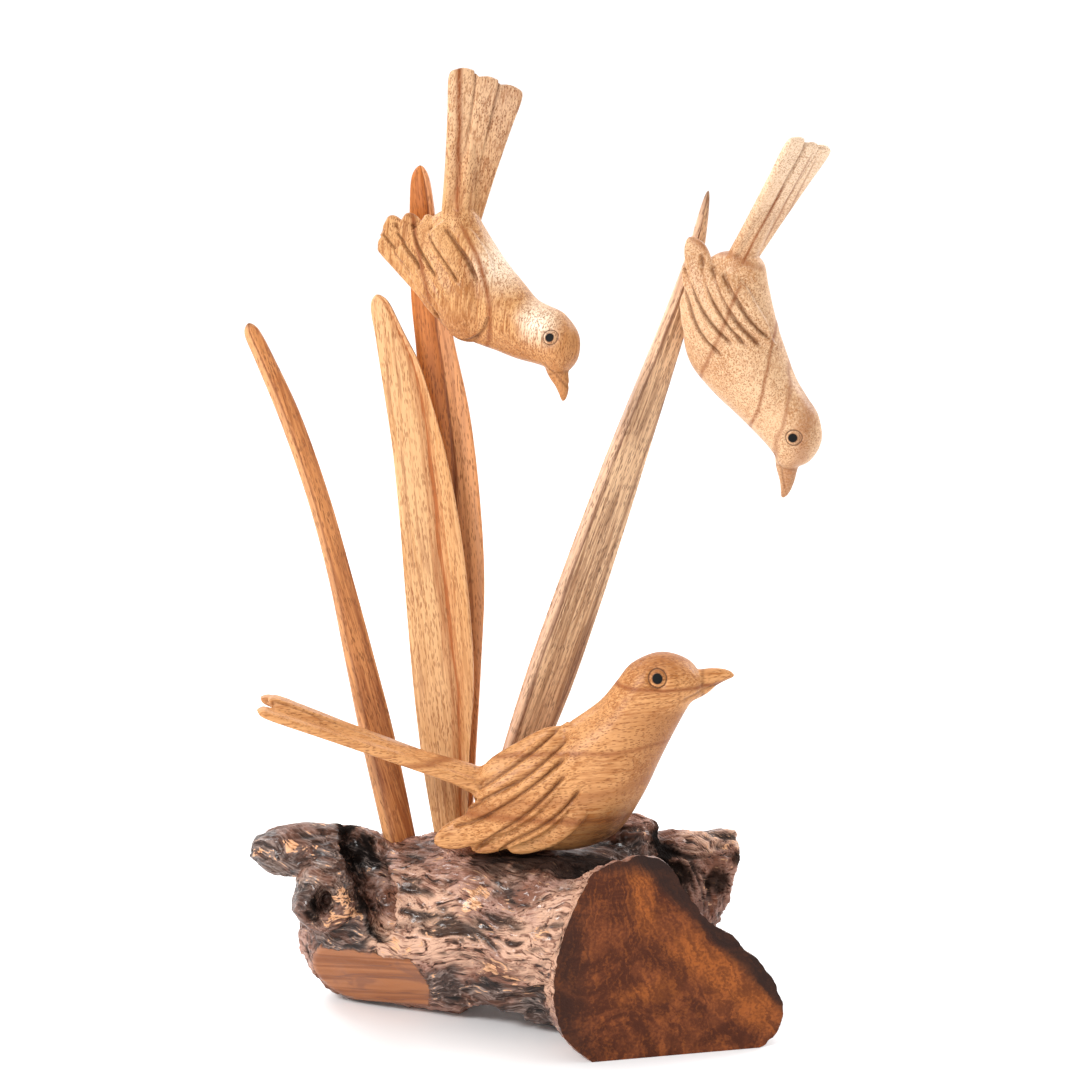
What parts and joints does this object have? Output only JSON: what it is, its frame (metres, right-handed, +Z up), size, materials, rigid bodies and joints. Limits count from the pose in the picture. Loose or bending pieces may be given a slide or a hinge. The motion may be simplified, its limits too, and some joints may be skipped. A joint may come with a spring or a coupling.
{
  "type": "carved wood bird sculpture",
  "caption": "Folk carving of small songbirds on tall blade leaves and on a gnarled natural root block with a sawn front face, standing freely on its flat underside.",
  "frame": {"origin": "middle of the carving's bounding box, on the floor that it stands on", "axes": "+Z up, along the carving's height; the front of the carving, with the sawn face and the low bird's side, faces -Y; the low bird's beak points along +X"},
  "size_m": [0.1796, 0.1017, 0.2973],
  "materials": {
    "root_wood": "natural bark and sawn heartwood, waxed",
    "leaf_wood": "sanded, satin wax",
    "bird_wood": "sanded, satin wax"
  },
  "bodies": {
    "root": {"root_base": "root_wood", "leaf_left": "leaf_wood", "leaf_centre": "leaf_wood", "leaf_back": "leaf_wood", "leaf_right": "leaf_wood", "bird_low": "bird_wood", "bird_left": "bird_wood", "bird_right": "bird_wood"}
  },
  "joints": []
}
